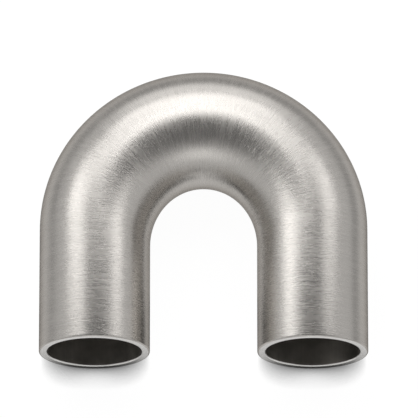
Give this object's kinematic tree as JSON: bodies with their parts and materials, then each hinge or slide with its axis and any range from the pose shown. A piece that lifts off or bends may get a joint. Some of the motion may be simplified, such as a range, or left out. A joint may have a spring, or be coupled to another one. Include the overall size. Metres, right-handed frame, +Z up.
{
  "type": "return bend",
  "caption": "Half-turn tube bend in brushed stainless steel, with open square-cut legs side by side and a thicker wall inside the bend.",
  "frame": {"origin": "centre of the footprint, on the surface that the bend lies on", "axes": "+X across the two legs, legs opening towards -Y and the crown of the bend towards +Y, +Z up through the height of the tube as it lies"},
  "size_m": [0.1432, 0.1276, 0.0483],
  "materials": {
    "brushed_stainless": "satin, with fine grain running round the tube"
  },
  "bodies": {
    "root": {"return_bend": "brushed_stainless"}
  },
  "joints": []
}
